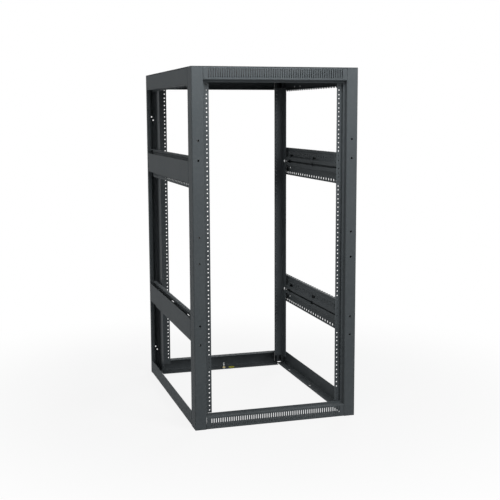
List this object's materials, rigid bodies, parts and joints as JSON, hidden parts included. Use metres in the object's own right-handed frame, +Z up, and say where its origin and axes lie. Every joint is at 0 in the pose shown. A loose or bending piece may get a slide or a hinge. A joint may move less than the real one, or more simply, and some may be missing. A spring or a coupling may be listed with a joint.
{
  "type": "network server rack cabinet",
  "caption": "Open-frame server rack cabinet with side braces, vented fascias and L-shaped rack rails that slide in depth along slotted plates.",
  "frame": {"origin": "on the floor under the middle of the cabinet", "axes": "+Z up, the front opening faces -Y, +X to the right seen from the front"},
  "size_m": [0.58, 0.795, 1.216],
  "materials": {
    "textured_black_paint": "fine textured powder coat, blue-grey black",
    "rack_rail_paint": "smooth satin black e-coat",
    "zinc_plated_steel": "zinc plated",
    "yellow_zinc_steel": "yellow passivated zinc",
    "yellow_vinyl": "plain yellow vinyl"
  },
  "bodies": {
    "cabinet": {"bottom_fascia": "textured_black_paint", "bottom_left_rail": "textured_black_paint", "bottom_rear_rail": "textured_black_paint", "bottom_right_rail": "textured_black_paint", "front_left_post": "textured_black_paint", "front_right_post": "textured_black_paint", "ground_marker": "yellow_vinyl", "ground_nut": "yellow_zinc_steel", "ground_stud": "yellow_zinc_steel", "ground_washer": "zinc_plated_steel", "lower_left_cover": "textured_black_paint", "lower_left_plate": "textured_black_paint", "lower_right_cover": "textured_black_paint", "lower_right_plate": "textured_black_paint", "rear_left_post": "textured_black_paint", "rear_right_post": "textured_black_paint", "top_fascia": "textured_black_paint", "top_left_rail": "textured_black_paint", "top_panel": "textured_black_paint", "top_rear_rail": "textured_black_paint", "top_right_rail": "textured_black_paint", "upper_left_cover": "textured_black_paint", "upper_left_plate": "textured_black_paint", "upper_right_cover": "textured_black_paint", "upper_right_plate": "textured_black_paint"},
    "front_left_rail": {"front_left_rack_rail": "rack_rail_paint", "front_left_lower_bolt": "zinc_plated_steel", "front_left_lower_nut": "zinc_plated_steel", "front_left_upper_bolt": "zinc_plated_steel", "front_left_upper_nut": "zinc_plated_steel"},
    "front_right_rail": {"front_right_rack_rail": "rack_rail_paint", "front_right_lower_bolt": "zinc_plated_steel", "front_right_lower_nut": "zinc_plated_steel", "front_right_upper_bolt": "zinc_plated_steel", "front_right_upper_nut": "zinc_plated_steel"},
    "rear_left_rail": {"rear_left_rack_rail": "rack_rail_paint", "rear_left_lower_bolt": "zinc_plated_steel", "rear_left_lower_nut": "zinc_plated_steel", "rear_left_upper_bolt": "zinc_plated_steel", "rear_left_upper_nut": "zinc_plated_steel"},
    "rear_right_rail": {"rear_right_rack_rail": "rack_rail_paint", "rear_right_lower_bolt": "zinc_plated_steel", "rear_right_lower_nut": "zinc_plated_steel", "rear_right_upper_bolt": "zinc_plated_steel", "rear_right_upper_nut": "zinc_plated_steel"}
  },
  "joints": [
    {"name": "front_left_rail_slide", "type": "slide", "parent": "cabinet", "child": "front_left_rail", "axis": [0, 1, 0], "range_m": [0, 0.29]},
    {"name": "front_right_rail_slide", "type": "slide", "parent": "cabinet", "child": "front_right_rail", "axis": [0, 1, 0], "range_m": [0, 0.29]},
    {"name": "rear_left_rail_slide", "type": "slide", "parent": "cabinet", "child": "rear_left_rail", "axis": [0, -1, 0], "range_m": [0, 0.29]},
    {"name": "rear_right_rail_slide", "type": "slide", "parent": "cabinet", "child": "rear_right_rail", "axis": [0, -1, 0], "range_m": [0, 0.29]}
  ]
}
